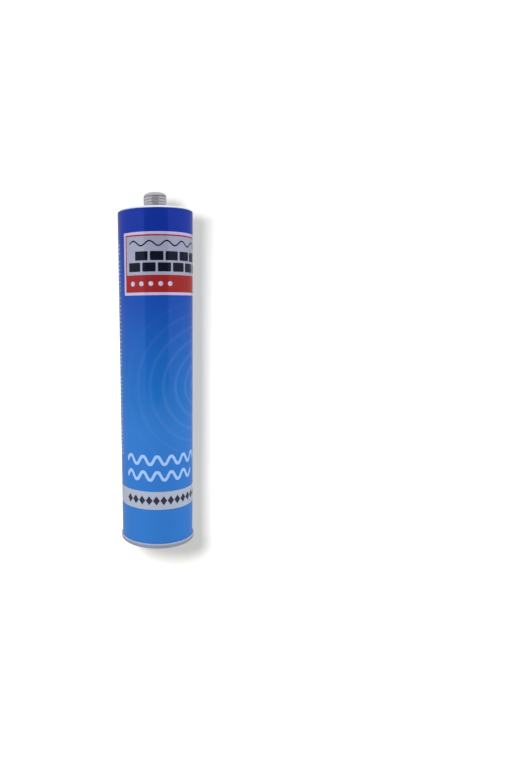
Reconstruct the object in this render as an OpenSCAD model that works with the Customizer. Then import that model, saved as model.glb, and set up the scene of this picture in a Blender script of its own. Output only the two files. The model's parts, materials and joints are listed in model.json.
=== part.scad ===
// Sealant cartridge: a one-piece metal barrel, filled and sealed, with a drawn metal piston in its base.
// The origin is the middle of the base, on the surface that the cartridge stands on, and +Z runs up
// to the threaded neck. Every section below is a half section: radius along X, height along Y.

/* [Barrel] */
// Outside diameter of the printed wall
body_d = 49.4; // [46:0.1:53]
// Height from the base to the shoulder edge
body_h = 221.3; // [205:0.1:240]
// Thickness of the metal wall
wall = 0.35; // [0.25:0.05:0.6]
// Radius of the edge between wall and shoulder
shoulder_edge_r = 1.3; // [0.4:0.1:2]
// Rise of the shoulder cone between its edge and the nozzle seat
shoulder_rise = 2.2; // [1:0.1:5]

/* [Neck] */
// Outside diameter of the neck, over the thread crests
neck_d = 15.3; // [13:0.1:18]
// Height of the neck above the nozzle seat
neck_h = 9.5; // [8:0.5:14]
// Radius of the edge round the top of the neck
neck_edge_r = 3; // [0.4:0.1:3.2]
// Width of the flat nozzle seat round the root of the neck
seat_w = 2; // [1.2:0.1:3]
// Radius of the fillet at the root of the neck
neck_root_r = 0.6; // [0.3:0.1:1]
// Diameter of the sealing membrane in the mouth of the neck
membrane_d = 8; // [6:0.1:8.6]
// Depth of the membrane below the top of the neck
membrane_depth = 0.8; // [0.4:0.1:2]

/* [Base hem] */
// Height of the wall's end that is folded outwards and up
hem_h = 3.2; // [2:0.1:5]
// Gap between the wall and the folded flap
hem_gap = 0.15; // [0.1:0.05:0.3]
// How far the wall widens, on the radius, down to the hem
mouth_flare = 0.15; // [0.05:0.05:0.4]
// Height above the hem over which the wall widens
flare_h = 2.5; // [1.5:0.1:4]

/* [Piston] */
// Depth of the recess in the base, up to the piston's lip
recess = 37; // [10:1:60]
// Height of the piston from its lip to the land of its crown
piston_h = 16; // [10:1:22]
// Thickness of the piston's sheet
piston_wall = 0.4; // [0.3:0.05:0.6]
// Clearance round and above the piston
piston_gap = 0.1; // [0.05:0.05:0.2]
// Outside radius of the bend between skirt and crown
crown_bend_r = 1.5; // [1:0.1:2.5]
// Width of the flat land round the crown, bend included
crown_land = 6; // [5:0.5:9]
// Outside radius of the stiffening bead pressed into the land
bead_r = 1.2; // [1:0.1:1.5]

/* [Hidden] */
$fn = 128;

FLARE_STEPS = 8;

body_r = body_d / 2;
bore_r = body_r - wall;
neck_r = neck_d / 2;
seat_r = neck_r + seat_w;
seat_z = body_h + shoulder_rise;
neck_top_z = seat_z + neck_h;

// The wall's outer face inside the hem, and the fold below it
mouth_r = body_r + mouth_flare;
fold_r = wall + hem_gap / 2;
fold_x = mouth_r + hem_gap / 2;
flap_x = mouth_r + hem_gap;
flare_top_z = hem_h + flare_h;

// The piston fits the bore, and its land lies as high as the recess and its skirt put it
piston_r = bore_r - piston_gap;
crown_z = recess + piston_h;
land_in_r = piston_r - crown_land;
bead_x = piston_r - (crown_land + crown_bend_r) / 2;

// A round block from the axis outwards, with its top outer edge rounded
module edge_rounded_block(r, low, high, edge) {
    translate([0, low]) square([r - edge, high - low]);
    translate([0, low]) square([r, high - edge - low]);
    translate([r - edge, high - edge]) circle(edge);
}

// All that lies under the piston's crown, down to the height low. With grow at 0 this is the
// piston's outer face, below 0 its inner face, and above 0 the room that it has in the barrel.
// Its middle rises as the shoulder does, so that the piston can press the filling out.
module under_crown(grow, low) {
    top = crown_z + grow;
    edge_rounded_block(piston_r + grow, low, top, crown_bend_r + grow);
    polygon([
        [0, low],
        [land_in_r, low],
        [land_in_r, top],
        [neck_r, top + shoulder_rise],
        [0, top + shoulder_rise]
    ]);
    translate([bead_x, crown_z - piston_wall]) circle(bead_r + grow);
}

// A block from the axis out to the widened mouth, moved outwards by shift. Its edge is a smooth
// step, from the body's radius at the flare's top to the mouth's radius at the hem.
module flared_block(shift, low) {
    polygon(concat(
        [[0, low], [mouth_r + shift, low]],
        [
            for (i = [0 : FLARE_STEPS])
                let (rise = i / FLARE_STEPS)
                [body_r + shift + mouth_flare * (1 + cos(180 * rise)) / 2, hem_h + flare_h * rise]
        ],
        [[0, flare_top_z]]
    ));
}

// Outside of the barrel: wall, shoulder cone, nozzle seat and neck, as if it were solid
module outside() {
    edge_rounded_block(body_r, fold_r, body_h, shoulder_edge_r);
    polygon([
        [0, fold_r],
        [body_r - shoulder_edge_r, fold_r],
        [body_r - shoulder_edge_r, body_h],
        [seat_r, seat_z],
        [0, seat_z]
    ]);
    edge_rounded_block(neck_r, fold_r, neck_top_z, neck_edge_r);
    translate([neck_r, seat_z]) difference() {
        square(neck_root_r);
        translate([neck_root_r, neck_root_r]) circle(neck_root_r);
    }
    flared_block(0, fold_r);
}

// The hem: a round fold under the wall, and the flap that stands up outside it
module folded_block() {
    translate([fold_x, fold_r]) circle(fold_r);
    translate([0, fold_r]) square([flap_x + wall, hem_h - wall / 2 - fold_r]);
    translate([flap_x + wall / 2, hem_h - wall / 2]) circle(wall / 2);
}

// The slot between wall and flap
module hem_slot() {
    translate([fold_x, fold_r]) circle(hem_gap / 2);
    translate([mouth_r, fold_r]) square([hem_gap, hem_h]);
}

// The barrel with its sealed filling is one solid, open only at the base
module barrel() {
    color([0.16, 0.37, 0.74]) rotate_extrude() difference() {
        union() {
            outside();
            folded_block();
        }
        hem_slot();
        under_crown(piston_gap, 0);
        flared_block(-wall, 0);
        translate([0, neck_top_z - membrane_depth]) square([membrane_d / 2, membrane_depth]);
    }
}

// The piston is one drawn cup, with its open side towards the base
module piston() {
    color([0.78, 0.79, 0.8]) rotate_extrude() difference() {
        under_crown(0, recess);
        under_crown(-piston_wall, 0);
    }
}

barrel();
piston();
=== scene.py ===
"""A sealed metal sealant cartridge: printed barrel, threaded neck, folded hem and drawn piston.

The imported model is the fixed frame. The barrel and the piston are modelled again over it, with the
thread, the print and the finishes that the solids leave out, and a small studio stands round them.
"""

import json
import math

import bmesh
import bpy
from mathutils import Matrix, Vector


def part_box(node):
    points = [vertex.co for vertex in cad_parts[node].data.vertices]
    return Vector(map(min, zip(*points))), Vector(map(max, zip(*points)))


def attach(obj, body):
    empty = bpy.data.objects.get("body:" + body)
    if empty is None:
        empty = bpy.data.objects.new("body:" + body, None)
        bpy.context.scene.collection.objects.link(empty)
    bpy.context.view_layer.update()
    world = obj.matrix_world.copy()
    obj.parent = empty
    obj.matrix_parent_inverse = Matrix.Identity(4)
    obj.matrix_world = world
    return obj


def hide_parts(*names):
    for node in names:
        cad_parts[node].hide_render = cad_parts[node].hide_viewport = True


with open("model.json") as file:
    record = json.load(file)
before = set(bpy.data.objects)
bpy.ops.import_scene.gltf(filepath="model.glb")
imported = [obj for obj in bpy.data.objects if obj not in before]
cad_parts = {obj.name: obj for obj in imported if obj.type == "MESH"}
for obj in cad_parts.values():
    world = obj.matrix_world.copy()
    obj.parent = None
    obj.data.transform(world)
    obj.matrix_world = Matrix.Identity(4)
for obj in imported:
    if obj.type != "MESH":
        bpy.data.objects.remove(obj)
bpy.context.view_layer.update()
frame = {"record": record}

bl_info = {
    "name": "Sealant cartridge",
    "version": (1, 0, 0),
    "blender": (4, 5, 0),
    "location": "3D View > Sidebar > Cartridge",
    "description": "Models a printed metal sealant cartridge and its studio",
    "category": "Add Mesh",
}

MM = 0.001
BARREL_LOW, BARREL_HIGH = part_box("barrel")
PISTON_LOW, PISTON_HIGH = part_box("piston")
MOUNTS = {mount["name"]: mount for mount in frame["record"]["mounts"]}


def mount_radius(name):
    """Radius of one of the record's mounts, in metres."""
    return MOUNTS[name]["dims"]["r_mm"] * MM


def mount_end(name, side):
    """Height of a mount's upper end, with side 1, or of its lower end, with side -1."""
    mount = MOUNTS[name]
    return mount["pos_m"][2] + side * mount["dims"]["length_mm"] * MM / 2


def srgb(red, green, blue):
    """A colour given in 0 to 255, as the linear values that shaders work in."""

    def linear(level):
        share = level / 255
        return share / 12.92 if share <= 0.04045 else ((share + 0.055) / 1.055) ** 2.4

    return linear(red), linear(green), linear(blue)


# The settings that a user would change


def length(name, default, description):
    """A length in metres, for a property group."""
    return bpy.props.FloatProperty(
        name=name, description=description, default=default, precision=5, unit="LENGTH"
    )


def angle(name, degrees, description):
    """An angle, given in degrees, for a property group."""
    return bpy.props.FloatProperty(
        name=name, description=description, default=math.radians(degrees), unit="ROTATION"
    )


def share(name, default, description):
    """A plain number, for a property group."""
    return bpy.props.FloatProperty(name=name, description=description, default=default)


def count(name, default, description):
    """A whole number, for a property group."""
    return bpy.props.IntProperty(name=name, description=description, default=default)


def colour(name, levels, description):
    """A colour, given in 0 to 255, for a property group."""
    return bpy.props.FloatVectorProperty(
        name=name,
        description=description,
        default=srgb(*levels),
        subtype="COLOR",
        min=0,
        max=1,
    )


class CartridgeBody(bpy.types.PropertyGroup):
    """Sizes of the barrel: wall, shoulder, neck and hem."""

    radius: length("Radius", mount_radius("barrel_outside"), "Outside radius of the wall")
    height: length("Height", BARREL_HIGH.z, "Height from the base to the top of the neck")
    wall: length("Wall", 0.35 * MM, "Thickness of the metal")
    shoulder_edge: length("Shoulder edge", 1.3 * MM, "Radius between wall and shoulder")
    shoulder_rise: length("Shoulder rise", 2.2 * MM, "Rise of the shoulder's cone")
    seat_width: length("Seat width", 2 * MM, "Flat ring round the root of the neck")
    neck_radius: length("Neck radius", mount_radius("neck_thread"), "Radius over the thread")
    neck_root: length("Neck root", 0.6 * MM, "Fillet round the root of the neck")
    neck_edge: length("Neck edge", 3 * MM, "Radius round the top of the neck")
    membrane_radius: length("Membrane", 4 * MM, "Radius of the sealing membrane")
    membrane_depth: length("Membrane depth", 0.8 * MM, "Depth of the membrane in the neck")
    hem_height: length("Hem height", 3.2 * MM, "Height of the folded hem")
    hem_gap: length("Hem gap", 0.15 * MM, "Slot between wall and hem")
    mouth_flare: length("Mouth flare", 0.15 * MM, "How far the wall widens to the hem")
    steps_round: count("Steps round", 240, "Faces round the barrel and the piston")


class CartridgeThread(bpy.types.PropertyGroup):
    """Sizes of the groove that is cut into the neck."""

    pitch: length("Pitch", 1.75 * MM, "Rise of the groove in one turn")
    depth: length("Depth", 0.65 * MM, "Depth of the groove")
    groove_width: length("Groove width", 1.0 * MM, "Width of the groove at the crest")
    root: length("Root", 0.15 * MM, "Rounding at the bottom of the groove")
    front_height: length("Front height", 225 * MM, "Lowest groove at the front of the neck")
    runout: angle("Run-out", 90, "Turn over which the groove comes to its full depth")


class CartridgePiston(bpy.types.PropertyGroup):
    """Sizes of the drawn piston."""

    gap: length("Gap", 0.1 * MM, "Clearance round the piston")
    sheet: length("Sheet", 0.4 * MM, "Thickness of the sheet")
    bend: length("Bend", 1.5 * MM, "Outside radius between skirt and crown")
    land: length("Land", 6 * MM, "Width of the crown's land, bend included")
    bead: length("Bead", 1.2 * MM, "Outside radius of the bead in the land")


class CartridgePrint(bpy.types.PropertyGroup):
    """Places of the print's fields. Lengths run round the wall from the front, to the right."""

    top: length("Top", mount_end("barrel_outside", 1), "Upper edge of the print")
    panel_start: length("Panel start", -23.2 * MM, "Left edge of the panel")
    panel_end: length("Panel end", 48 * MM, "Right edge of the panel")
    panel_low: length("Panel low", 166.7 * MM, "Lower edge of the panel")
    panel_high: length("Panel high", 205.6 * MM, "Upper edge of the panel")
    border: length("Border", 1.7 * MM, "Width of the panel's pale border")
    rule: length("Rule", 0.9 * MM, "Width of the red line inside the border")
    field: length("Field", 10.8 * MM, "Height of the panel's red field")
    wave_low: length("Lower wave", 49.5 * MM, "Height of the lower light wave")
    wave_high: length("Upper wave", 60 * MM, "Height of the upper light wave")
    band_low: length("Band low", 26.7 * MM, "Lower edge of the pale band")
    band_high: length("Band high", 38.9 * MM, "Upper edge of the pale band")


class CartridgeInks(bpy.types.PropertyGroup):
    """Colours of the print. The wall fades from the first to the last blue."""

    blue_top: colour("Blue at the top", (25, 58, 174), "Ink at the shoulder")
    blue_upper: colour("Upper blue", (28, 83, 185), "Ink under the panel")
    blue_middle: colour("Middle blue", (31, 101, 193), "Ink in the middle")
    blue_lower: colour("Lower blue", (31, 111, 195), "Ink below the middle")
    blue_base: colour("Blue at the base", (45, 120, 205), "Ink at the base")
    border: colour("Border", (214, 202, 240), "Border of the panel")
    red: colour("Red", (168, 44, 41), "Red field and line of the panel")
    pale: colour("Pale", (176, 180, 205), "Pale field of the panel")
    navy: colour("Navy", (22, 25, 42), "Dark marks on the panel")
    light: colour("Light blue", (165, 200, 250), "Waves and small print")
    band: colour("Band", (177, 184, 203), "Band near the base")
    slate: colour("Slate", (44, 46, 66), "Marks on the band")


class CartridgeStudio(bpy.types.PropertyGroup):
    """Camera, lamps and cards."""

    camera_distance: length("Camera distance", 380.9 * MM, "From the barrel's axis")
    camera_height: length("Camera height", 155.9 * MM, "Above the base")
    camera_tilt: angle("Camera tilt", -7.87, "Above the level")
    camera_roll: angle("Camera roll", -0.48, "About the line of sight")
    focal_length: share("Focal length", 25.89, "In millimetres, on a 36 mm sensor")
    camera_shift: share("Camera shift", 0.1325, "Sideways, in widths of the sensor")
    ambient: share("Ambient", 0.3, "Strength of the light from all round")
    ground: share("Ground light", 0.83, "Strength of the light from below the horizon")
    key: share("Key light", 0.43, "Light of the front lamp on a surface that faces it")
    right: share("Right light", 0.5, "Light of the right lamp, which throws no shadow")
    left: share("Left light", 0.13, "Light of the left lamp, which throws no shadow")
    top: share("Top light", 0.46, "Light of the upper lamp on a surface that faces it")
    shadow: share("Shadow light", 0.55, "Light that the body's shadow on the backdrop lacks")
    backdrop_gap: length("Backdrop gap", 100 * MM, "From the barrel's axis to the backdrop")
    softbox_left: share("Left softbox", 0.35, "Strength of the left panel")
    softbox_right: share("Right softbox", 0.3, "Strength of the right panel")
    front_card: share("Front card", 0.3, "Strength of the card below the dark one")
    dark_card: share("Dark card", 0.02, "Strength of the card behind the camera")
    high_card: share("High card", 0.08, "Strength of the card above the dark one")
    low_card: share("Low card", 0.35, "Strength of the card under the floor")


GROUPS = {
    "cartridge_body": CartridgeBody,
    "cartridge_thread": CartridgeThread,
    "cartridge_piston": CartridgePiston,
    "cartridge_print": CartridgePrint,
    "cartridge_inks": CartridgeInks,
    "cartridge_studio": CartridgeStudio,
}


# Half sections, as points of radius and height


def arc(radius, height, bend, start, end, steps):
    """Points of an arc round (radius, height), between two angles in degrees."""
    turns = [math.radians(start + (end - start) * i / steps) for i in range(steps + 1)]
    return [(radius + bend * math.cos(t), height + bend * math.sin(t)) for t in turns]


def flare(body, shift, steps=8):
    """The smooth step between the wall and the wider mouth, from the top down."""
    top = mount_end("barrel_outside", -1)
    points = []
    for i in range(steps + 1):
        fall = i / steps
        widen = body.mouth_flare * (1 - math.cos(math.pi * fall)) / 2
        height = top + (body.hem_height - top) * fall
        points.append((body.radius + shift + widen, height))
    return points


def crown(body, piston, grow):
    """The piston's outer face, moved outwards by grow, from the skirt to the crown's middle."""
    outer = body.radius - body.wall - piston.gap
    land_height = PISTON_HIGH.z - body.shoulder_rise
    top = land_height + grow
    bend = piston.bend + grow
    bend_at = (outer - piston.bend, land_height - piston.bend)
    bead = piston.bead + grow
    bead_at = (outer - (piston.land + piston.bend) / 2, land_height - piston.sheet)
    dip = math.degrees(math.asin((top - bead_at[1]) / bead))
    return [
        *arc(*bend_at, bend, 0, 90, 8),
        *arc(*bead_at, bead, dip, 180 - dip, 12),
        (outer - piston.land, top),
        (body.neck_radius, top + body.shoulder_rise),
    ]


def barrel_outline(body, piston):
    """From the membrane over the neck, down the wall, round the hem and up the bore."""
    neck_top = body.height
    neck_edge_low = mount_end("neck_thread", 1)
    root_high = mount_end("neck_thread", -1)
    seat = root_high - body.neck_root
    edge_low = mount_end("barrel_outside", 1)
    edge_in = body.radius - body.shoulder_edge
    mouth = body.radius + body.mouth_flare
    fold = body.wall + body.hem_gap / 2
    fold_at = (mouth + body.hem_gap / 2, fold)
    tip = body.wall / 2
    tip_at = (mouth + body.hem_gap + tip, body.hem_height - tip)
    return [
        (body.membrane_radius, neck_top - body.membrane_depth),
        (body.membrane_radius, neck_top),
        *arc(body.neck_radius - body.neck_edge, neck_edge_low, body.neck_edge, 90, 0, 8),
        *arc(body.neck_radius + body.neck_root, root_high, body.neck_root, 180, 270, 6),
        (body.neck_radius + body.seat_width, seat),
        *arc(edge_in, edge_low, body.shoulder_edge, 90, 0, 8),
        *flare(body, 0),
        *arc(*fold_at, body.hem_gap / 2, 180, 360, 8),
        *arc(*tip_at, tip, 180, 0, 8),
        *arc(*fold_at, fold, 0, -180, 16),
        *reversed(flare(body, -body.wall)),
        *crown(body, piston, piston.gap),
    ]


def piston_outline(body, piston):
    """From the crown's middle down the outer face, round the lip and back up the inner face."""
    outer = body.radius - body.wall - piston.gap
    lip = piston.sheet / 2
    return [
        *reversed(crown(body, piston, 0)),
        *arc(outer - lip, PISTON_LOW.z + lip, lip, 0, -180, 8),
        *crown(body, piston, -piston.sheet),
    ]


def hold(outline, reach=0.2 * MM):
    """Add a point near both ends of each long straight stretch, so that its shading stays even."""
    held = [outline[0]]
    for (radius, height), (next_radius, next_height) in zip(outline, outline[1:]):
        away = math.hypot(next_radius - radius, next_height - height)
        if away > 4 * reach:
            for part in (reach / away, 1 - reach / away):
                between = radius + (next_radius - radius) * part
                held.append((between, height + (next_height - height) * part))
        held.append((next_radius, next_height))
    return held


# Modelling by hand, in edit mode


def add_alone(operator, stretch=(1, 1, 1), **settings):
    """Add a primitive while nothing else is selected, stretched, with its origin on the axis."""
    bpy.ops.object.select_all(action="DESELECT")
    operator(**settings)
    bpy.context.object.scale = stretch
    bpy.ops.object.transform_apply(location=True, rotation=True, scale=True)
    return bpy.context.object


def select_where(piece, kind, test):
    """In edit mode, select only the vertices, edges or faces of a piece that pass a test."""
    bpy.ops.mesh.select_all(action="DESELECT")
    bpy.ops.mesh.select_mode(type={"verts": "VERT", "edges": "EDGE", "faces": "FACE"}[kind])
    shape = bmesh.from_edit_mesh(piece.data)
    found = [element for element in getattr(shape, kind) if test(element)]
    if not found:
        raise RuntimeError(f"{piece.name}: nothing to select among its {kind}")
    for element in found:
        element.select_set(True)
    shape.select_flush_mode()
    bmesh.update_edit_mesh(piece.data)


def close_pole(piece, height):
    """Close the open ring at a height with a fan of faces to the axis."""
    select_where(
        piece,
        "edges",
        lambda edge: edge.is_boundary and abs(edge.verts[0].co.z - height) < 0.001 * MM,
    )
    bpy.ops.mesh.extrude_edges_move()
    bpy.ops.mesh.merge(type="CENTER")


def model_turned(name, outline, steps_round):
    """Model a closed turned piece: each ring is extruded from the last, moved and resized."""
    outline = hold(outline)
    first_radius, first_height = outline[0]
    piece = add_alone(
        bpy.ops.mesh.primitive_circle_add,
        vertices=steps_round,
        radius=first_radius,
        location=(0, 0, first_height),
    )
    piece.name = piece.data.name = name
    bpy.ops.object.mode_set(mode="EDIT")
    bpy.ops.mesh.select_all(action="SELECT")
    for (radius, height), (next_radius, next_height) in zip(outline, outline[1:]):
        bpy.ops.mesh.extrude_edges_move(
            TRANSFORM_OT_translate={"value": (0, 0, next_height - height)}
        )
        grow = next_radius / radius
        bpy.ops.transform.resize(value=(grow, grow, 1), center_override=(0, 0, next_height))
    close_pole(piece, first_height)
    close_pole(piece, outline[-1][1])
    bpy.ops.mesh.select_all(action="SELECT")
    bpy.ops.mesh.remove_doubles(threshold=0.001 * MM)
    bpy.ops.mesh.normals_make_consistent(inside=False)
    bpy.ops.object.mode_set(mode="OBJECT")
    return piece


def select_alone(piece):
    """Make a piece the active one and the only one selected."""
    bpy.ops.object.select_all(action="DESELECT")
    piece.select_set(True)
    bpy.context.view_layer.objects.active = piece


def smooth(piece, degrees=30):
    """Shade a piece smooth, except over edges sharper than the angle."""
    select_alone(piece)
    bpy.ops.object.shade_smooth_by_angle(angle=math.radians(degrees))


def dress_where(piece, material, test):
    """Give a finish to the faces of a piece that pass a test."""
    piece.data.materials.append(material)
    bpy.context.view_layer.objects.active = piece
    bpy.ops.object.mode_set(mode="EDIT")
    piece.active_material_index = len(piece.data.materials) - 1
    select_where(piece, "faces", test)
    bpy.ops.object.material_slot_assign()
    bpy.ops.object.mode_set(mode="OBJECT")


def face_radius(face):
    """Distance of a face's middle from the axis."""
    return face.calc_center_median().xy.length


def faces_outwards(face):
    """True for a face that looks away from the axis."""
    return face.normal.xy.dot(face.calc_center_median().xy) > 0


# Shader trees, written as arithmetic on what the nodes put out


class Signal:
    """What a node puts out. Arithmetic on it adds math nodes to its tree."""

    def __init__(self, sheet, socket):
        self.sheet = sheet
        self.socket = socket

    def __add__(self, other):
        return self.sheet.math("ADD", self, other)

    def __sub__(self, other):
        return self.sheet.math("SUBTRACT", self, other)

    def __rsub__(self, other):
        return self.sheet.math("SUBTRACT", other, self)

    def __mul__(self, other):
        return self.sheet.math("MULTIPLY", self, other)

    def __truediv__(self, other):
        return self.sheet.math("DIVIDE", self, other)

    def __abs__(self):
        return self.sheet.math("ABSOLUTE", self)

    def at_least(self, other):
        """The larger of the two."""
        return self.sheet.math("MAXIMUM", self, other)

    def at_most(self, other):
        """The smaller of the two."""
        return self.sheet.math("MINIMUM", self, other)


class Sheet:
    """One node tree, filled from left to right, row by row."""

    ROW = 14
    ACROSS, DOWN = 190, -300

    def __init__(self, tree):
        self.tree = tree
        self.made = 0

    def node(self, kind, **settings):
        """Add a node and set its options."""
        made = self.tree.nodes.new(kind)
        row, column = divmod(self.made, self.ROW)
        made.location = (column * self.ACROSS, row * self.DOWN)
        self.made += 1
        for name, value in settings.items():
            setattr(made, name, value)
        return made

    def feed(self, socket, value):
        """Link a signal to a socket, or set a plain value on it."""
        if isinstance(value, Signal):
            self.tree.links.new(value.socket, socket)
        else:
            socket.default_value = value

    def read(self, kind, label):
        """One output of a new node."""
        return Signal(self, self.node(kind).outputs[label])

    def close(self, surface, kind="Material"):
        """End the tree of a material or a world with a shader."""
        output = self.node("ShaderNodeOutput" + kind)
        self.tree.links.new(surface.outputs[0], output.inputs["Surface"])

    def math(self, operation, *values, clamp=False):
        """A math node's result."""
        made = self.node("ShaderNodeMath", operation=operation, use_clamp=clamp)
        for socket, value in zip(made.inputs, values):
            self.feed(socket, value)
        return Signal(self, made.outputs[0])

    def hypot(self, x, y):
        """How far a point lies from the middle."""
        return self.math("SQRT", x * x + y * y)

    def between(self, value, low, high):
        """1 where a value lies between two others, 0 elsewhere."""
        return self.math("GREATER_THAN", value, low) * self.math("LESS_THAN", value, high)

    def spread(self, away, softness):
        """1 where the signed distance away is inside, 0 outside, with a soft edge between."""
        return self.math("SUBTRACT", 0.5, away / softness, clamp=True)

    def round_box(self, across, up, corner):
        """Signed distance to a box with round corners, from the distances past its sides."""
        across = across + corner
        up = up + corner
        out = self.hypot(across.at_least(0.0), up.at_least(0.0))
        return out + across.at_least(up).at_most(0.0) - corner

    def from_middle(self, value, pitch):
        """How far a value lies from the middle of its step, where all steps have one pitch."""
        return abs(self.math("FRACT", value / pitch) - 0.5) * pitch

    def split(self, place):
        """The three parts of a vector."""
        made = self.node("ShaderNodeSeparateXYZ")
        self.feed(made.inputs[0], place)
        return [Signal(self, socket) for socket in made.outputs]

    def join(self, x, y, z):
        """A vector of three parts."""
        made = self.node("ShaderNodeCombineXYZ")
        for socket, value in zip(made.inputs, (x, y, z)):
            self.feed(socket, value)
        return Signal(self, made.outputs[0])

    def noise(self, place, scale, detail=2.0, roughness=0.5):
        """Soft noise between 0 and 1."""
        made = self.node("ShaderNodeTexNoise")
        values = {"Vector": place, "Scale": scale, "Detail": detail, "Roughness": roughness}
        for label, value in values.items():
            self.feed(made.inputs[label], value)
        return Signal(self, made.outputs["Fac"])

    def remap(self, value, span, onto=(0.0, 1.0)):
        """A value moved from one range onto another, and held inside it."""
        made = self.node("ShaderNodeMapRange", clamp=True)
        for socket, part in zip(made.inputs, (value, *span, *onto)):
            self.feed(socket, part)
        return Signal(self, made.outputs[0])

    def paint(self, under, over, mask):
        """One colour over another, where the mask is 1."""
        made = self.node("ShaderNodeMix", data_type="RGBA")
        self.feed(made.inputs[0], mask)
        for socket, value in ((made.inputs[6], under), (made.inputs[7], over)):
            self.feed(socket, value if isinstance(value, Signal) else (*value, 1))
        return Signal(self, made.outputs[2])

    def blend(self, under, over, mask):
        """One number over another, where the mask is 1."""
        made = self.node("ShaderNodeMix", data_type="FLOAT")
        for place, value in ((0, mask), (2, under), (3, over)):
            self.feed(made.inputs[place], value)
        return Signal(self, made.outputs[0])

    def use(self, effect, **values):
        """Place an effect's node group, with the named values."""
        made = self.node("ShaderNodeGroup", node_tree=group_of(effect))
        for name, value in values.items():
            self.feed(made.inputs[socket_label(name)], value)
        results = [Signal(self, socket) for socket in made.outputs]
        return results[0] if len(results) == 1 else results


def bare_sheet(owner):
    """The emptied node tree of a material or a world."""
    owner.use_nodes = True
    owner.node_tree.nodes.clear()
    return Sheet(owner.node_tree)


def socket_label(name):
    """The name of a value, as its socket shows it."""
    return name.replace("_", " ").capitalize()


def group_of(effect):
    """An effect's node group, made once. The effect's named values and defaults are its inputs."""
    name = effect.__name__
    if name in bpy.data.node_groups:
        return bpy.data.node_groups[name]
    group = bpy.data.node_groups.new(name, "ShaderNodeTree")
    add_socket = group.interface.new_socket
    inputs = {key: socket_label(key) for key in effect.__kwdefaults__}
    for key, label in inputs.items():
        default = effect.__kwdefaults__[key]
        if default is None:
            add_socket(label, in_out="INPUT", socket_type="NodeSocketVector")
        else:
            made = add_socket(label, in_out="INPUT", socket_type="NodeSocketFloat")
            made.default_value = default
    sheet = Sheet(group)
    entry = sheet.node("NodeGroupInput")
    values = {key: Signal(sheet, entry.outputs[label]) for key, label in inputs.items()}
    results = effect(sheet, **values)
    for label in results:
        add_socket(label, in_out="OUTPUT", socket_type="NodeSocketFloat")
    leave = sheet.node("NodeGroupOutput")
    for label, result in results.items():
        sheet.feed(leave.inputs[label], result)
    return group


# Effects that the finishes share. Each becomes a node group

INK_EDGE = 0.06 * MM  # how soft the edge of the print is


def wall_place(sheet, *, place=None, radius=0.02):
    """Length round the wall from the front, and height."""
    x, y, z = sheet.split(place)
    return {"Along": sheet.math("ARCTAN2", x, y * -1.0) * radius, "Height": z}


def print_field(sheet, *, along=0, height=0, start=0, end=0.01, low=0, high=0.01, corner=0):
    """A rectangle with round corners."""
    across = abs(along - (start + end) * 0.5) - (end - start) * 0.5
    up = abs(height - (low + high) * 0.5) - (high - low) * 0.5
    return {"Mask": sheet.spread(sheet.round_box(across, up, corner), INK_EDGE)}


def print_wave(
    sheet, *, along=0, height=0, start=0, end=0.01, middle=0, rise=MM, wavelength=0.01, thickness=MM
):
    """A waved line with round ends."""
    held = along.at_least(start).at_most(end)
    turn = (held - start) * math.tau / wavelength
    up = height - middle - sheet.math("SINE", turn) * rise
    slope = sheet.math("COSINE", turn) * rise * math.tau / wavelength
    up = up / sheet.math("SQRT", slope * slope + 1.0)
    away = sheet.hypot(up, along - held) - thickness * 0.5
    return {"Mask": sheet.spread(away, INK_EDGE)}


def print_marks(
    sheet,
    *,
    along=0,
    height=0,
    start=0,
    end=0.01,
    middle=0,
    pitch=0.01,
    mark_length=0.005,
    mark_height=0.005,
    corner=0,
):
    """A row of equal marks, each a rectangle with round corners."""
    across = sheet.from_middle(along - start, pitch) - mark_length * 0.5
    up = abs(height - middle) - mark_height * 0.5
    mark = sheet.spread(sheet.round_box(across, up, corner), INK_EDGE)
    return {"Mask": mark * sheet.between(along, start, end)}


def print_lozenges(
    sheet,
    *,
    along=0,
    height=0,
    start=0,
    end=0.01,
    middle=0,
    pitch=0.01,
    mark_length=0.005,
    mark_height=0.005,
):
    """A row of equal lozenges."""
    across = sheet.from_middle(along - start, pitch) / (mark_length * 0.5)
    up = abs(height - middle) / (mark_height * 0.5)
    away = (across + up - 1.0) * mark_height * 0.4
    return {"Mask": sheet.spread(away, INK_EDGE) * sheet.between(along, start, end)}


def print_fine_rows(
    sheet, *, along=0, height=0, start=0, end=0.01, low=0, high=0.1, pitch=0.0026, dash=0.002
):
    """Rows of fine dashes of uneven length, as thick as small print."""
    row = (height - low) / pitch
    line = sheet.spread(abs(sheet.math("FRACT", row) - 0.5) - 0.22, 0.12)
    # Each row reads its own line of the noise
    number = sheet.math("FLOOR", row)
    breaks = sheet.noise(sheet.join(along / dash, number * 7.31, 0.0), scale=1, detail=1)
    letters = sheet.noise(sheet.join(along / dash * 6.0, number * 3.17, 4.0), scale=1, detail=0)
    words = sheet.spread(0.43 - breaks, 0.03) * sheet.spread(0.38 - letters, 0.2)
    inside = sheet.between(along, start, end) * sheet.between(height, low, high)
    return {"Mask": line * words * inside}


def print_ripples(
    sheet, *, along=0, height=0, start=0, middle=0.1, gap=0.01, line_width=0.002, reach=0.05
):
    """Soft rings round a point, which fade outwards."""
    away = sheet.hypot(along - start, height - middle)
    line = sheet.spread(sheet.from_middle(away, gap) - line_width * 0.5, line_width)
    return {"Mask": line * sheet.remap(away, (reach * 0.25, reach), (1.0, 0.0))}


def drawing_lines(sheet, *, place=None, fineness=900):
    """Fine lines along the axis, left by the drawing die."""
    x, y, z = sheet.split(place)
    stretched = sheet.join(x, y, z * 0.012)
    coarse = sheet.noise(stretched, fineness, detail=3, roughness=0.6)
    fine = sheet.noise(stretched, fineness * 4.0)
    return {"Level": coarse * 0.6 + fine * 0.4}


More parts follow.
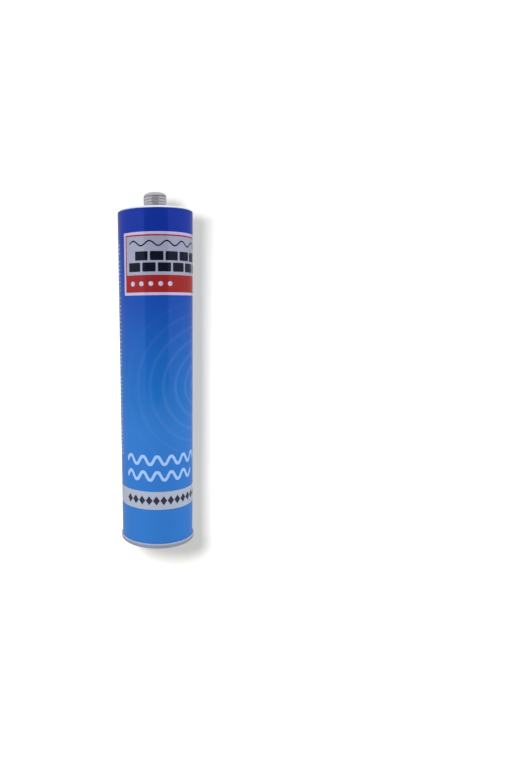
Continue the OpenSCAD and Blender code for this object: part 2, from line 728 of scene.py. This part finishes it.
def turning_rings(sheet, *, place=None, fineness=2500):
    """Fine rings round the axis, left by trimming and spinning."""
    x, y, z = sheet.split(place)
    stretched = sheet.join(sheet.hypot(x, y), z, sheet.math("ARCTAN2", x, y) * 0.0002)
    return {"Level": sheet.noise(stretched, fineness, detail=3, roughness=0.6)}


def edge_scuffs(sheet, *, place=None, away=0, reach=0.002, amount=0.4):
    """Patches of wear, dense at an edge and gone beyond the reach."""
    near = sheet.remap(away, (0.0, reach), (1.0, 0.0))
    patches = sheet.noise(place, scale=900, detail=4, roughness=0.65)
    specks = sheet.noise(place, scale=4200)
    level = near * amount + patches * 0.55 + specks * 0.12
    return {"Mask": sheet.remap(level, (0.93, 0.98))}


def handling_smudges(sheet, *, place=None, strength=0.1):
    """Soft handling marks and hair scratches, as a change to the roughness."""
    broad = sheet.noise(place, scale=38, detail=3, roughness=0.55)
    touched = sheet.remap(broad, (0.45, 0.7))
    x, y, z = sheet.split(place)
    slanted = sheet.join(x * 3.0 + z * 0.25, y * 3.0 - z * 0.2, z * 0.12)
    hairs = sheet.remap(sheet.noise(slanted, scale=520), (0.64, 0.72))
    return {"Level": (touched * 0.7 + hairs * 0.5) * strength}


# The finishes


def new_finish(name):
    """A material with its sheet, its shader and the place of a point on the piece."""
    material = bpy.data.materials.new(name)
    sheet = bare_sheet(material)
    place = sheet.read("ShaderNodeTexCoord", "Object")
    shader = sheet.node("ShaderNodeBsdfPrincipled")
    sheet.close(shader)
    return material, sheet, shader, place


def set_finish(sheet, shader, **values):
    """Feed the shader's sockets of these names."""
    for name, value in values.items():
        sheet.feed(shader.inputs[name.replace("_", " ").title()], value)


def add_bump(sheet, shader, level, depth):
    """Raise the surface by a level between 0 and 1, over a depth in metres."""
    bump = sheet.node("ShaderNodeBump")
    set_finish(sheet, bump, strength=1.0, distance=depth, height=level)
    sheet.tree.links.new(bump.outputs[0], shader.inputs["Normal"])


class Press:
    """Lays inks over one another on the wall, at a length round it and a height."""

    def __init__(self, sheet, base, along, height):
        self.sheet = sheet
        self.base = base
        self.place = {"along": along, "height": height}

    def lay(self, ink, effect, cover=1.0, **sizes):
        """Print an effect over what is there. With less cover, that shows through."""
        mask = self.sheet.use(effect, **self.place, **sizes)
        if cover < 1:
            mask = mask * cover
        self.base = self.sheet.paint(self.base, ink, mask)


def lay_panel(press, sizes, inks):
    """The bordered panel: rows of bricks over a pale field, a wave, and dots over a red field."""
    left, right = sizes.panel_start, sizes.panel_end
    low, high = sizes.panel_low, sizes.panel_high
    border = sizes.border
    inset = border + sizes.rule
    red_top = low + border + sizes.field
    for ink, inward, bottom, top, corner in (
        (inks.border, 0, low, high, 0.5 * MM),
        (inks.red, border, low + border, high - border, 0.3 * MM),
        (inks.pale, inset, red_top, high - inset, 0.2 * MM),
    ):
        ends = {"start": left + inward, "end": right - inward}
        press.lay(ink, print_field, **ends, low=bottom, high=top, corner=corner)

    brick_length, brick_height, joint = 8.6 * MM, 5.6 * MM, 1.3 * MM
    pitch = brick_length + joint
    bricks_start = left + inset + 1.5 * MM
    bricks_middle = red_top + 2 * MM + brick_height / 2
    most_bricks = 6
    for row in range(2):
        start = bricks_start + row * pitch / 2
        press.lay(
            inks.navy,
            print_marks,
            start=start,
            end=start + pitch * (most_bricks - row),
            middle=bricks_middle + row * (brick_height + joint),
            pitch=pitch,
            mark_length=brick_length,
            mark_height=brick_height,
            corner=0.7 * MM,
        )
    press.lay(
        inks.navy,
        print_wave,
        start=bricks_start + 1.5 * MM,
        end=right - inset - 4 * MM,
        middle=high - inset - 4.4 * MM,
        rise=1.5 * MM,
        wavelength=11 * MM,
        thickness=0.9 * MM,
    )
    dot, dot_pitch, dots = 3 * MM, 6.2 * MM, 5
    dots_start = left + inset + 2 * MM
    press.lay(
        inks.border,
        print_marks,
        start=dots_start,
        end=dots_start + dots * dot_pitch,
        middle=low + border + sizes.field / 2,
        pitch=dot_pitch,
        mark_length=dot,
        mark_height=dot,
        corner=dot / 2,
    )


def lay_print(press, sizes, inks):
    """Everything that is printed over the blue."""
    press.lay(
        inks.light,
        print_ripples,
        cover=0.09,
        start=34 * MM,
        middle=108 * MM,
        gap=8.5 * MM,
        line_width=1.8 * MM,
        reach=62 * MM,
    )
    for start, end in ((-51 * MM, -29.5 * MM), (55 * MM, 73 * MM)):
        press.lay(
            inks.light,
            print_fine_rows,
            cover=0.8,
            start=start,
            end=end,
            low=60 * MM,
            high=203 * MM,
            pitch=2.6 * MM,
            dash=3.2 * MM,
        )
    lay_panel(press, sizes, inks)
    for middle, end in ((sizes.wave_high, 32 * MM), (sizes.wave_low, 26.7 * MM)):
        press.lay(
            inks.light,
            print_wave,
            start=sizes.panel_start + 1.6 * MM,
            end=end,
            middle=middle,
            rise=2.6 * MM,
            wavelength=9.6 * MM,
            thickness=2 * MM,
        )
    all_round = {"start": -1.0, "end": 1.0}
    press.lay(inks.band, print_field, **all_round, low=sizes.band_low, high=sizes.band_high)
    lozenges, pitch = 12, 4.9 * MM
    lozenges_start = sizes.panel_start + 0.4 * MM
    press.lay(
        inks.slate,
        print_lozenges,
        start=lozenges_start,
        end=lozenges_start + lozenges * pitch,
        middle=(sizes.band_low + sizes.band_high) / 2,
        pitch=pitch,
        mark_length=4.6 * MM,
        mark_height=6.2 * MM,
    )


def make_printed_wall(body, sizes, inks):
    """Gloss print over the drawn wall, worn through to the metal at its edges."""
    material, sheet, shader, place = new_finish("printed_wall")
    along, height = sheet.use(wall_place, place=place, radius=body.radius)

    blues = sheet.node("ShaderNodeValToRGB")
    sheet.feed(blues.inputs[0], height / sizes.top)
    points = blues.color_ramp.elements
    points[0].position, points[0].color = 0, (*inks.blue_base, 1)
    points.remove(points[1])
    for at, ink in (
        (78 * MM, inks.blue_base),
        (101 * MM, inks.blue_lower),
        (132 * MM, inks.blue_middle),
        (164 * MM, inks.blue_upper),
        (206 * MM, inks.blue_top),
    ):
        points.new(at / sizes.top).color = (*ink, 1)
    press = Press(sheet, Signal(sheet, blues.outputs[0]), along, height)
    lay_print(press, sizes, inks)

    # At the back the print's end lies over its start
    overlap = sheet.spread(math.pi * body.radius - 0.5 * MM - abs(along), 0.1 * MM)
    base = sheet.paint(press.base, inks.blue_top, overlap * 0.25)
    from_top, from_hem = sizes.top - height, height - body.hem_height
    at_top = sheet.use(edge_scuffs, place=place, away=from_top, reach=1.6 * MM, amount=0.55)
    at_hem = sheet.use(edge_scuffs, place=place, away=from_hem, reach=2.2 * MM, amount=0.42)
    worn = at_top.at_least(at_hem)
    bare_metal = srgb(196, 198, 202)
    base = sheet.paint(base, bare_metal, worn)
    cloud = sheet.noise(place, scale=60)
    base = sheet.paint(base, inks.blue_top, sheet.remap(cloud, (0.4, 0.8), (0.0, 0.03)))
    sheet.feed(shader.inputs["Base Color"], base)

    # Higher up, the ink is clearer and more of the metal shows through it
    clear_ink = sheet.remap(height, (105 * MM, 200 * MM), (0.05, 0.33))
    sheet.feed(shader.inputs["Metallic"], worn.at_least(clear_ink))
    smudges = sheet.use(handling_smudges, place=place, strength=0.05)
    sheet.feed(shader.inputs["Roughness"], sheet.blend(smudges + 0.05, 0.32, worn))
    lines = sheet.use(drawing_lines, place=place, fineness=700)
    peel = sheet.noise(place, scale=520, detail=1)
    add_bump(sheet, shader, lines * 0.5 + peel * 0.5 - worn * 0.6, 0.006 * MM)
    return material


def make_bare_aluminium():
    """Bright spun aluminium of the shoulder and the nozzle seat."""
    material, sheet, shader, place = new_finish("bare_aluminium")
    rings = sheet.use(turning_rings, place=place, fineness=2600)
    smudges = sheet.use(handling_smudges, place=place, strength=0.16)
    cloud = sheet.noise(place, scale=240, detail=3)
    dull, bright, smudged = srgb(226, 236, 252), srgb(236, 244, 255), srgb(198, 201, 210)
    tone = sheet.paint(sheet.paint(dull, bright, cloud), smudged, smudges)
    rough = smudges + rings * 0.12 + 0.18
    set_finish(sheet, shader, base_color=tone, metallic=1.0, roughness=rough)
    add_bump(sheet, shader, rings, 0.012 * MM)
    return material


def make_neck_metal(body, thread):
    """Dull rolled metal of the threaded neck, with painted shade deep in the grooves and on its
    upper end.
    """
    material, sheet, shader, place = new_finish("neck_metal")
    rings = sheet.use(turning_rings, place=place, fineness=2200)
    smudges = sheet.use(handling_smudges, place=place, strength=0.08)
    grain = sheet.noise(place, scale=1300, detail=3)
    dull, bright, smudged = srgb(240, 239, 243), srgb(250, 249, 252), srgb(214, 213, 220)
    groove_shade_tone, end_shade_tone = srgb(203, 200, 209), srgb(178, 177, 184)
    tone = sheet.paint(sheet.paint(dull, bright, grain), smudged, smudges)
    x, y, height = sheet.split(place)
    # Painted shade: the tone darkens towards the bottom of the grooves, below the thread's top
    groove_span = (body.neck_radius - thread.depth, body.neck_radius)
    groove_shade_mask = sheet.remap(sheet.hypot(x, y), groove_span, (1.0, 0.0))
    thread_top = mount_end("neck_thread", 1)
    straight = sheet.remap(height, (thread_top, thread_top + 0.6 * MM), (1.0, 0.0))
    tone = sheet.paint(tone, groove_shade_tone, groove_shade_mask * straight)
    # Painted shade: a darker tone over the neck's upper end, above the thread
    tone = sheet.paint(end_shade_tone, tone, straight)
    rough = smudges + rings * 0.04 + 0.12
    set_finish(sheet, shader, base_color=tone, metallic=0.78, roughness=rough)
    add_bump(sheet, shader, rings + grain * 0.5, 0.01 * MM)
    return material


def make_hem_metal(body):
    """Dull metal of the hem, with a painted highlight along the flap's upper end."""
    material, sheet, shader, place = new_finish("hem_metal")
    _, _, height = sheet.split(place)
    lines = sheet.use(drawing_lines, place=place, fineness=900)
    smudges = sheet.use(handling_smudges, place=place, strength=0.2)
    grain = sheet.noise(place, scale=1500)
    dull, bright, smudged = srgb(152, 160, 180), srgb(170, 177, 196), srgb(120, 126, 142)
    tone = sheet.paint(sheet.paint(dull, bright, lines), smudged, smudges)
    # Painted highlight: a bright band over the top of the flap, with a grainy lower edge
    highlight_tone, highlight_low = srgb(203, 211, 236), body.hem_height - 0.9 * MM
    painted_highlight = sheet.remap(height + grain * 0.3 * MM, (highlight_low, highlight_low + 0.4 * MM))
    tone = sheet.paint(tone, highlight_tone, painted_highlight)
    set_finish(sheet, shader, base_color=tone, metallic=0.4, roughness=smudges + 0.36)
    add_bump(sheet, shader, lines + grain * 0.5, 0.01 * MM)
    return material


def make_bore_lacquer():
    """Thin clear lacquer over the drawn metal of the bore, slightly golden."""
    material, sheet, shader, place = new_finish("bore_lacquer")
    lines = sheet.use(drawing_lines, place=place, fineness=900)
    smudges = sheet.use(handling_smudges, place=place, strength=0.12)
    dull, bright = srgb(200, 192, 166), srgb(218, 211, 188)
    tone = sheet.paint(dull, bright, lines)
    set_finish(sheet, shader, base_color=tone, metallic=0.75, roughness=smudges + 0.3)
    set_finish(sheet, shader, coat_weight=0.5, coat_roughness=0.12)
    add_bump(sheet, shader, lines, 0.01 * MM)
    return material


def make_drawn_piston(body):
    """Bright drawn sheet of the piston, with die lines on the skirt and rings on the crown."""
    material, sheet, shader, place = new_finish("drawn_piston")
    skirt_lines = sheet.use(drawing_lines, place=place, fineness=800)
    rings = sheet.use(turning_rings, place=place, fineness=1800)
    x, y, _ = sheet.split(place)
    skirt_in = body.radius - 2.2 * MM
    on_skirt = sheet.remap(sheet.hypot(x, y), (skirt_in, skirt_in + 0.8 * MM))
    level = sheet.blend(rings, skirt_lines, on_skirt)
    smudges = sheet.use(handling_smudges, place=place, strength=0.2)
    dull, bright, smudged = srgb(198, 200, 204), srgb(220, 222, 225), srgb(160, 162, 168)
    tone = sheet.paint(sheet.paint(dull, bright, level), smudged, smudges)
    rough = smudges + level * 0.1 + 0.26
    set_finish(sheet, shader, base_color=tone, metallic=0.85, roughness=rough)
    add_bump(sheet, shader, level, 0.015 * MM)
    return material


# The pieces


class CARTRIDGE_OT_model_barrel(bpy.types.Operator):
    """Turn the barrel with its shoulder, neck, hem and bore"""

    bl_idname = "cartridge.model_barrel"
    bl_label = "Model the barrel"

    def execute(self, context):
        scene = context.scene
        body = scene.cartridge_body
        outline = barrel_outline(body, scene.cartridge_piston)
        model_turned("barrel_shell", outline, body.steps_round)
        return {"FINISHED"}


class CARTRIDGE_OT_cut_thread(bpy.types.Operator):
    """Wind a cutter round the neck and cut the thread's groove with it"""

    bl_idname = "cartridge.cut_thread"
    bl_label = "Cut the thread"

    steps = 96
    proud = 0.1 * MM

    def execute(self, context):
        scene = context.scene
        thread = scene.cartridge_thread
        body = scene.cartridge_body
        barrel = bpy.data.objects["barrel_shell"]

        # The groove passes the front, at three quarters of a turn, at its lowest full depth
        start_turn = math.radians(270) - thread.runout
        start = thread.front_height - thread.pitch * thread.runout / math.tau
        turns = math.ceil((body.height - start) / thread.pitch)
        reach = thread.depth + self.proud
        half_height = thread.groove_width / 2 * reach / thread.depth
        middle = body.neck_radius + self.proud
        cutter = add_alone(
            bpy.ops.mesh.primitive_circle_add,
            vertices=4,
            radius=1,
            location=(middle * math.cos(start_turn), middle * math.sin(start_turn), start),
            rotation=(math.pi / 2, 0, start_turn),
            stretch=(reach, half_height, 1),
        )
        bpy.ops.object.mode_set(mode="EDIT")
        inmost = min(vert.co.xy.length for vert in bmesh.from_edit_mesh(cutter.data).verts)
        select_where(cutter, "verts", lambda vert: vert.co.xy.length < inmost + 0.01 * MM)
        bpy.ops.mesh.bevel(offset=thread.root, segments=3, affect="VERTICES")
        bpy.ops.object.mode_set(mode="OBJECT")

        bpy.ops.object.modifier_add(type="SCREW")
        winding = cutter.modifiers[-1]
        winding.axis = "Z"
        winding.angle = math.tau
        winding.screw_offset = thread.pitch
        winding.iterations = turns
        winding.steps = winding.render_steps = self.steps
        bpy.ops.object.modifier_apply(modifier=winding.name)
        self.draw_out_start(cutter, thread, start_turn, start, reach)

        select_alone(barrel)
        bpy.ops.object.modifier_add(type="BOOLEAN")
        cut = barrel.modifiers[-1]
        cut.operation = "DIFFERENCE"
        cut.solver = "EXACT"
        cut.object = cutter
        bpy.ops.object.modifier_apply(modifier=cut.name)
        bpy.data.objects.remove(cutter)
        return {"FINISHED"}

    def draw_out_start(self, cutter, thread, start_turn, start, reach):
        """Move the cutter's first rings outwards, so that the groove runs out, and cap its ends."""
        bpy.ops.object.mode_set(mode="EDIT")
        rings = round(self.steps * thread.runout / math.tau)
        for i in range(rings):
            turn = start_turn + math.tau * i / self.steps
            height = start + thread.pitch * i / self.steps
            outwards = Vector((math.cos(turn), math.sin(turn), 0))
            select_where(
                cutter,
                "verts",
                lambda vert: abs(vert.co.z - height) < thread.pitch / 2
                and vert.co.xy.normalized().dot(outwards.xy) > math.cos(math.pi / self.steps),
            )
            left = (1 - i / rings) ** 2
            bpy.ops.transform.translate(value=outwards * reach * left)
        bpy.ops.mesh.select_all(action="SELECT")
        bpy.ops.mesh.fill_holes(sides=0)
        bpy.ops.mesh.select_all(action="SELECT")
        bpy.ops.mesh.normals_make_consistent(inside=False)
        bpy.ops.object.mode_set(mode="OBJECT")


class CARTRIDGE_OT_finish_barrel(bpy.types.Operator):
    """Give the barrel its print, its bare metal and its lacquered bore"""

    bl_idname = "cartridge.finish_barrel"
    bl_label = "Finish the barrel"

    def execute(self, context):
        scene = context.scene
        body = scene.cartridge_body
        sizes = scene.cartridge_print
        barrel = bpy.data.objects["barrel_shell"]
        barrel.data.materials.clear()
        barrel.data.materials.append(make_bare_aluminium())

        wall_middle = body.radius - body.wall / 2
        flap = body.radius + body.mouth_flare + body.hem_gap / 2

        def is_printed(face):
            height = face.calc_center_median().z
            on_wall = wall_middle < face_radius(face) < flap and abs(face.normal.z) < 0.5
            return on_wall and faces_outwards(face) and body.wall < height < sizes.top

        def is_bore(face):
            height = face.calc_center_median().z
            inside = face_radius(face) < wall_middle + body.mouth_flare
            return inside and body.wall < height < PISTON_HIGH.z + MM and not is_printed(face)

        def is_neck(face):
            near_axis = face_radius(face) < body.neck_radius + body.neck_root / 2
            return near_axis and face.calc_center_median().z > mount_end("neck_thread", -1)

        def is_hem(face):
            on_flap = face_radius(face) > flap and face.calc_center_median().z < body.hem_height
            return on_flap or face.calc_center_median().z < body.wall

        printed_wall = make_printed_wall(body, sizes, scene.cartridge_inks)
        dress_where(barrel, printed_wall, is_printed)
        dress_where(barrel, make_bore_lacquer(), is_bore)
        dress_where(barrel, make_hem_metal(body), is_hem)
        dress_where(barrel, make_neck_metal(body, scene.cartridge_thread), is_neck)
        smooth(barrel)
        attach(barrel, "root")
        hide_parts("barrel")
        return {"FINISHED"}


class CARTRIDGE_OT_model_piston(bpy.types.Operator):
    """Turn the drawn piston and give it its finish"""

    bl_idname = "cartridge.model_piston"
    bl_label = "Model the piston"

    def execute(self, context):
        scene = context.scene
        body = scene.cartridge_body
        outline = piston_outline(body, scene.cartridge_piston)
        piston = model_turned("piston_cup", outline, body.steps_round)
        piston.data.materials.append(make_drawn_piston(body))
        smooth(piston)
        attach(piston, "root")
        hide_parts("piston")
        return {"FINISHED"}


# The studio


def add_card(name, size, location, rotation, material, seen_by=("glossy",)):
    """A flat card of the stage, which only the named kinds of ray meet."""
    card = add_alone(
        bpy.ops.mesh.primitive_plane_add,
        size=1,
        location=location,
        rotation=rotation,
        stretch=(*size, 1),
    )
    card.name = card.data.name = name
    card.data.materials.append(material)
    for ray in ("camera", "diffuse", "glossy"):
        setattr(card, "visible_" + ray, ray in seen_by)
    card.visible_transmission = card.visible_camera
    card.visible_volume_scatter = False
    card.visible_shadow = False
    return card


def make_glow(name, strength):
    """A plain glowing card."""
    material = bpy.data.materials.new(name)
    sheet = bare_sheet(material)
    glow = sheet.node("ShaderNodeEmission")
    glow.inputs["Strength"].default_value = strength
    sheet.close(glow)
    return material


def white_rays(sheet):
    """1 for the rays that meet plain white: those of the camera, of gloss and of glass."""
    path = sheet.node("ShaderNodeLightPath")
    seen = Signal(sheet, path.outputs["Is Camera Ray"])
    for ray in ("Is Glossy Ray", "Is Transmission Ray"):
        seen = seen.at_least(Signal(sheet, path.outputs[ray]))
    return seen


def make_paper(name, field=None):
    """Paper that glows white, clear from behind. A field of a width and two heights shows shade."""
    material = bpy.data.materials.new(name)
    sheet = bare_sheet(material)
    paper = sheet.node("ShaderNodeBsdfDiffuse")
    paper.inputs["Color"].default_value = (0.74, 0.74, 0.71, 1)
    glow = 1.0
    if field:
        width, low, high = field
        fade = 0.1
        x, _, height = sheet.split(sheet.read("ShaderNodeTexCoord", "Object"))
        outside = (abs(x) - width / 2).at_least(low - height).at_least(height - high)
        # Painted light: the field's glow grows with height, because the barrel keeps more of the
        # world's light off the field's upper part
        made_up = sheet.remap(height, (-0.05, 0.17), (0.15, 0.216))
        glow = sheet.remap(outside, (0.0, fade)) + made_up
    shine = sheet.node("ShaderNodeEmission")
    sheet.feed(shine.inputs["Strength"], white_rays(sheet) * glow)
    lit = sheet.node("ShaderNodeAddShader")
    clear = sheet.node("ShaderNodeBsdfTransparent")
    choice = sheet.node("ShaderNodeMixShader")
    sheet.feed(choice.inputs[0], sheet.read("ShaderNodeNewGeometry", "Backfacing"))
    for shader, socket in (
        (paper, lit.inputs[0]),
        (shine, lit.inputs[1]),
        (lit, choice.inputs[1]),
        (clear, choice.inputs[2]),
    ):
        sheet.tree.links.new(shader.outputs[0], socket)
    sheet.close(choice)
    return material


def gather(name, objects):
    """A collection of the objects that a lamp lights."""
    group = bpy.data.collections.new(name)
    for item in objects:
        group.objects.link(item)
    return group


def add_lamp(name, level, size, location, target, lights):
    """A soft lamp for one collection. A surface at the target that faces it gets the level."""
    way = Vector(target) - Vector(location)
    bpy.ops.object.select_all(action="DESELECT")
    bpy.ops.object.light_add(type="AREA", location=location)
    lamp = bpy.context.object
    lamp.name = name
    lamp.rotation_euler = way.to_track_quat("-Z", "Y").to_euler()
    lamp.data.shape = "RECTANGLE"
    lamp.data.size, lamp.data.size_y = size
    lamp.data.energy = level * (math.pi * way.length) ** 2
    lamp.visible_glossy = False
    lamp.visible_camera = False
    lamp.light_linking.receiver_collection = lights
    return lamp


def light_world(scene, ambient, ground):
    """White to the camera and in reflections. On surfaces, light from below as off a floor."""
    world = bpy.data.worlds.new("studio_world")
    scene.world = world
    sheet = bare_sheet(world)
    background = sheet.node("ShaderNodeBackground")
    background.inputs["Color"].default_value = (1, 1, 1, 1)
    _, _, rise = sheet.split(sheet.read("ShaderNodeTexCoord", "Generated"))
    around = sheet.remap(rise, (-0.05, 0.05), (ground, ambient))
    sheet.feed(background.inputs["Strength"], sheet.blend(around, 1.0, white_rays(sheet)))
    sheet.close(background, "World")


class CARTRIDGE_OT_set_stage(bpy.types.Operator):
    """Set up the floor, the backdrop, the cards, the lamps, the world and the camera"""

    bl_idname = "cartridge.set_stage"
    bl_label = "Set the stage"

    flat, upright, sideways = (0, 0, 0), (math.pi / 2, 0, 0), (math.pi / 2, 0, math.pi / 2)

    def execute(self, context):
        scene = context.scene
        studio = scene.cartridge_studio
        middle = scene.cartridge_body.height / 2
        scene.view_settings.view_transform = "Standard"
        light_world(scene, studio.ambient, studio.ground)
        pieces = gather("lit_pieces", [item for item in scene.objects if item.type == "MESH"])
        paper = gather("lit_paper", [self.hang_papers(studio, middle)])
        self.hang_cards(studio)
        self.hang_lamps(studio, (0, 0, middle), pieces, paper)
        self.place_camera(scene, studio)
        return {"FINISHED"}

    def hang_papers(self, studio, middle):
        """Hang the backdrop, and lay the floor low enough to leave the shadow in sight."""
        shade_width, shade_low, shade_high = 0.096, -0.085, 0.26
        backdrop_size, floor_size, floor_height = (1.2, 1.2), (4, 4), -0.13
        at = (0, studio.backdrop_gap, middle)
        paper = make_paper("backdrop_paper", field=(shade_width, shade_low, shade_high))
        seen_by = ("camera", "diffuse")
        backdrop = add_card("backdrop", backdrop_size, at, self.upright, paper, seen_by)
        at = (0, 0, floor_height)
        add_card("floor", floor_size, at, self.flat, make_paper("floor_paper"), ("camera",))
        return backdrop

    def hang_cards(self, studio):
        """Hang what the gloss mirrors: a softbox on each side, three cards in front, one below."""
        low, high = -1.2, 0.8
        front_width, low_size = 4, (5, 5)
        cards = []

        # The softboxes end where the barrel's darker middle begins
        reach, back = 0.9, 4
        for name, side, edge in (("softbox_left", -1, 33.5), ("softbox_right", 1, 38)):
            front = -reach / math.tan(math.radians(edge))
            at = (side * reach, (front + back) / 2, (low + high) / 2)
            cards.append((name, (back - front, high - low), at, self.sideways))

        # The three in front: bright below, dark where the upper wall mirrors it, grey above
        dark_low, dark_high, ahead = -0.16, 0.52, -1.6
        for name, bottom, top in (
            ("front_card", low, dark_low),
            ("dark_card", dark_low, dark_high),
            ("high_card", dark_high, high),
        ):
            at = (0, ahead, (bottom + top) / 2)
            cards.append((name, (front_width, top - bottom), at, self.upright))
        cards.append(("low_card", low_size, (0, 0, low), self.flat))
        for name, size, at, turned in cards:
            add_card(name, size, at, turned, make_glow(name + "_cloth", getattr(studio, name)))

    def hang_lamps(self, studio, target, pieces, paper):
        """Hang four lamps for the cartridge, and one that throws its shadow on the backdrop."""
        key_turn, key_size = math.radians(17), (0.17, 0.17)
        key_at = (-math.sin(key_turn), -math.cos(key_turn), 0.25)
        top_at, top_size = (-0.055, 0.065, 1.2), (0.06, 0.06)
        add_lamp("key_lamp", studio.key, key_size, key_at, target, pieces)
        add_lamp("top_lamp", studio.top, top_size, top_at, target, pieces)
        side_turn, side_height, side_size = 0.15, 0.2, (0.5, 0.5)
        for name, level, side in (("left_lamp", studio.left, -1), ("right_lamp", studio.right, 1)):
            at = (side, side * side_turn, side_height)
            add_lamp(name, level, side_size, at, target, pieces).data.use_shadow = False

        # The shadow lamp stands beside the camera, so the shadow follows the outline, moved aside
        shadow_size = (0.048, 0.044)
        beside = (-0.0478, -0.365, studio.camera_height + 0.024)
        below = (0.03, studio.backdrop_gap, -0.35)
        add_lamp("shadow_lamp", studio.shadow, shadow_size, beside, below, paper)

    def place_camera(self, scene, studio):
        """Put the camera where the photograph was taken from."""
        bpy.ops.object.select_all(action="DESELECT")
        bpy.ops.object.camera_add(location=(0, -studio.camera_distance, studio.camera_height))
        camera = bpy.context.object
        camera.name = "camera"
        tilt = Matrix.Rotation(math.pi / 2 + studio.camera_tilt, 3, "X")
        roll = Matrix.Rotation(studio.camera_roll, 3, "Z")
        camera.rotation_euler = (tilt @ roll).to_euler()
        camera.data.lens = studio.focal_length
        camera.data.shift_x = studio.camera_shift
        camera.data.clip_start = 0.01
        scene.camera = camera


OPERATORS = [
    CARTRIDGE_OT_model_barrel,
    CARTRIDGE_OT_cut_thread,
    CARTRIDGE_OT_finish_barrel,
    CARTRIDGE_OT_model_piston,
    CARTRIDGE_OT_set_stage,
]


class CARTRIDGE_PT_sidebar(bpy.types.Panel):
    """Lists the steps of the cartridge and their settings"""

    bl_label = "Sealant cartridge"
    bl_idname = "CARTRIDGE_PT_sidebar"
    bl_space_type = "VIEW_3D"
    bl_region_type = "UI"
    bl_category = "Cartridge"

    def draw(self, context):
        for operator in OPERATORS:
            self.layout.operator(operator.bl_idname)
        for name in GROUPS:
            box = self.layout.box()
            settings = getattr(context.scene, name)
            for key in settings.__annotations__:
                box.prop(settings, key)


def register():
    """Register the settings, the operators and the panel."""
    for name, group in GROUPS.items():
        bpy.utils.register_class(group)
        setattr(bpy.types.Scene, name, bpy.props.PointerProperty(type=group))
    for operator in OPERATORS:
        bpy.utils.register_class(operator)
    bpy.utils.register_class(CARTRIDGE_PT_sidebar)


def unregister():
    """Take away what register added."""
    bpy.utils.unregister_class(CARTRIDGE_PT_sidebar)
    for operator in reversed(OPERATORS):
        bpy.utils.unregister_class(operator)
    for name, group in GROUPS.items():
        delattr(bpy.types.Scene, name)
        bpy.utils.unregister_class(group)


def main():
    register()
    bpy.ops.cartridge.model_barrel()
    bpy.ops.cartridge.cut_thread()
    bpy.ops.cartridge.finish_barrel()
    bpy.ops.cartridge.model_piston()
    bpy.ops.cartridge.set_stage()


if __name__ == "__main__":
    main()
